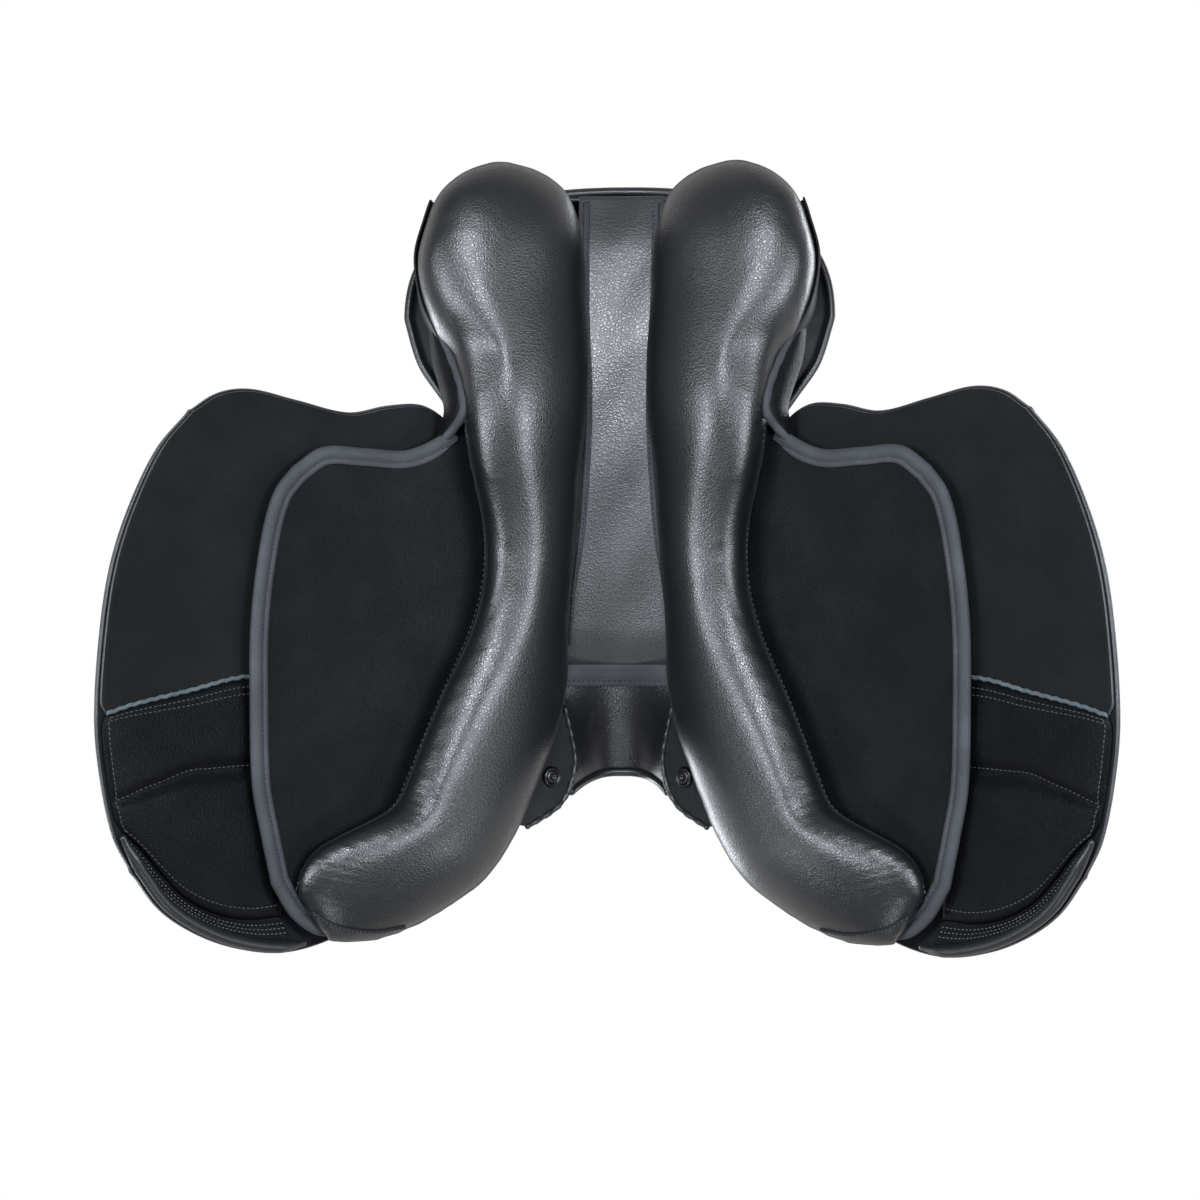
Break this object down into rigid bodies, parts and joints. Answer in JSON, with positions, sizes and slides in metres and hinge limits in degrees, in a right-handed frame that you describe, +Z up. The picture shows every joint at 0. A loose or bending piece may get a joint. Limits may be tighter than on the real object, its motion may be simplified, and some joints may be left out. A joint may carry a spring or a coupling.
{
  "type": "jumping saddle",
  "caption": "English close-contact jumping saddle with forward flaps, wool-flocked panels, gullet channel, laminated tree, stirrup bars and girth billets.",
  "frame": {"origin": "on the centreline between the panels, at the level where they bear on the horse's back, 337 mm ahead of the cantle's rear edge and 139 mm behind the pommel's front edge", "axes": "+Z up, +Y to the rear (cantle), -Y to the front (pommel), +X to the rider's left"},
  "size_m": [0.7436, 0.616, 0.3591],
  "materials": {
    "panel_leather": "pebbled grain, semi-matte",
    "flap_leather": "smooth, matte inner side, dyed cut edge",
    "flap_lining_leather": "fine grain, matte",
    "knee_pad_leather": "soft grain, satin",
    "seat_leather": "fine grain, satin",
    "binding_leather": "matte, stitched",
    "gullet_leather": "coarse grain",
    "billet_leather": "smooth, waxed",
    "tree_laminate": "varnished laminate",
    "steel": "brushed",
    "dark_nickel": "black nickel plate",
    "webbing": "woven canvas",
    "foam": "closed-cell latex foam",
    "flock": "carded wool"
  },
  "bodies": {
    "saddle_body": {"tree_frame": "tree_laminate", "head_plate": "steel", "tree_spring_left": "steel", "tree_spring_right": "steel", "seat_webbing": "webbing", "seat_foam": "foam", "seat_cover": "seat_leather", "seat_welt": "seat_leather", "seat_side_left": "seat_leather", "seat_side_right": "seat_leather", "seat_edge_roll_left": "seat_leather", "seat_edge_roll_right": "seat_leather", "cantle_roll": "seat_leather", "pommel_facing": "seat_leather", "pommel_piping": "binding_leather", "gullet_lining": "gullet_leather", "front_gullet_lining": "gullet_leather", "gullet_cross_binding": "binding_leather", "channel_binding_left": "binding_leather", "channel_binding_right": "binding_leather", "panel_cover_left": "panel_leather", "panel_cover_right": "panel_leather", "panel_flock_left": "flock", "panel_flock_right": "flock", "panel_flap_left": "flap_lining_leather", "panel_flap_right": "flap_lining_leather", "panel_binding_left": "binding_leather", "panel_binding_right": "binding_leather", "rear_gusset_left": "panel_leather", "rear_gusset_right": "panel_leather", "point_pocket_left": "binding_leather", "point_pocket_right": "binding_leather", "cup_washer_left": "dark_nickel", "cup_washer_right": "dark_nickel", "pocket_screw_left": "dark_nickel", "pocket_screw_right": "dark_nickel", "stirrup_bar_left": "steel", "stirrup_bar_right": "steel", "catch_pin_left": "steel", "catch_pin_right": "steel", "girth_web_left": "webbing", "girth_web_right": "webbing"},
    "flap_group_left": {"flap_left": "flap_leather", "flap_lining_left": "flap_lining_leather", "knee_pad_left": "knee_pad_leather", "flap_front_roll_left": "knee_pad_leather"},
    "skirt_group_left": {"skirt_left": "seat_leather"},
    "billet_group_left_1": {"billet_left_1": "billet_leather"},
    "billet_group_left_2": {"billet_left_2": "billet_leather"},
    "billet_group_left_3": {"billet_left_3": "billet_leather"},
    "catch_group_left": {"bar_catch_left": "steel"},
    "flap_group_right": {"flap_right": "flap_leather", "flap_lining_right": "flap_lining_leather", "knee_pad_right": "knee_pad_leather", "flap_front_roll_right": "knee_pad_leather"},
    "skirt_group_right": {"skirt_right": "seat_leather"},
    "billet_group_right_1": {"billet_right_1": "billet_leather"},
    "billet_group_right_2": {"billet_right_2": "billet_leather"},
    "billet_group_right_3": {"billet_right_3": "billet_leather"},
    "catch_group_right": {"bar_catch_right": "steel"}
  },
  "joints": [
    {"name": "flap_left_lift", "type": "hinge", "parent": "saddle_body", "child": "flap_group_left", "pos_m": [0.10892, 0, 0.04419], "axis": [0, -1, 0], "range_deg": [0, 50]},
    {"name": "skirt_left_lift", "type": "hinge", "parent": "flap_group_left", "child": "skirt_group_left", "pos_m": [0.10892, 0, 0.04419], "axis": [0, -1, 0], "range_deg": [0, 45]},
    {"name": "billet_left_1_swing", "type": "hinge", "parent": "saddle_body", "child": "billet_group_left_1", "pos_m": [0.10457, 0.004, 0.02297], "axis": [0.5329, 0, 0.8462], "range_deg": [-6.5, 6.5]},
    {"name": "billet_left_2_swing", "type": "hinge", "parent": "saddle_body", "child": "billet_group_left_2", "pos_m": [0.10681, 0.044, 0.02652], "axis": [0.5329, 0, 0.8462], "range_deg": [-6.5, 6.5]},
    {"name": "billet_left_3_swing", "type": "hinge", "parent": "saddle_body", "child": "billet_group_left_3", "pos_m": [0.10457, 0.084, 0.02297], "axis": [0.5329, 0, 0.8462], "range_deg": [-6.5, 6.5]},
    {"name": "catch_left_turn", "type": "hinge", "parent": "saddle_body", "child": "catch_group_left", "pos_m": [0.11963, -0.03, 0.02228], "axis": [0.8413, 0, -0.5405], "range_deg": [0, 75]},
    {"name": "flap_right_lift", "type": "hinge", "parent": "saddle_body", "child": "flap_group_right", "pos_m": [-0.10892, 0, 0.04419], "axis": [0, 1, 0], "range_deg": [0, 50]},
    {"name": "skirt_right_lift", "type": "hinge", "parent": "flap_group_right", "child": "skirt_group_right", "pos_m": [-0.10892, 0, 0.04419], "axis": [0, 1, 0], "range_deg": [0, 45]},
    {"name": "billet_right_1_swing", "type": "hinge", "parent": "saddle_body", "child": "billet_group_right_1", "pos_m": [-0.10457, 0.004, 0.02297], "axis": [-0.5329, 0, 0.8462], "range_deg": [-6.5, 6.5]},
    {"name": "billet_right_2_swing", "type": "hinge", "parent": "saddle_body", "child": "billet_group_right_2", "pos_m": [-0.10681, 0.044, 0.02652], "axis": [-0.5329, 0, 0.8462], "range_deg": [-6.5, 6.5]},
    {"name": "billet_right_3_swing", "type": "hinge", "parent": "saddle_body", "child": "billet_group_right_3", "pos_m": [-0.10457, 0.084, 0.02297], "axis": [-0.5329, 0, 0.8462], "range_deg": [-6.5, 6.5]},
    {"name": "catch_right_turn", "type": "hinge", "parent": "saddle_body", "child": "catch_group_right", "pos_m": [-0.11963, -0.03, 0.02228], "axis": [0.8413, 0, 0.5405], "range_deg": [0, 75]}
  ]
}
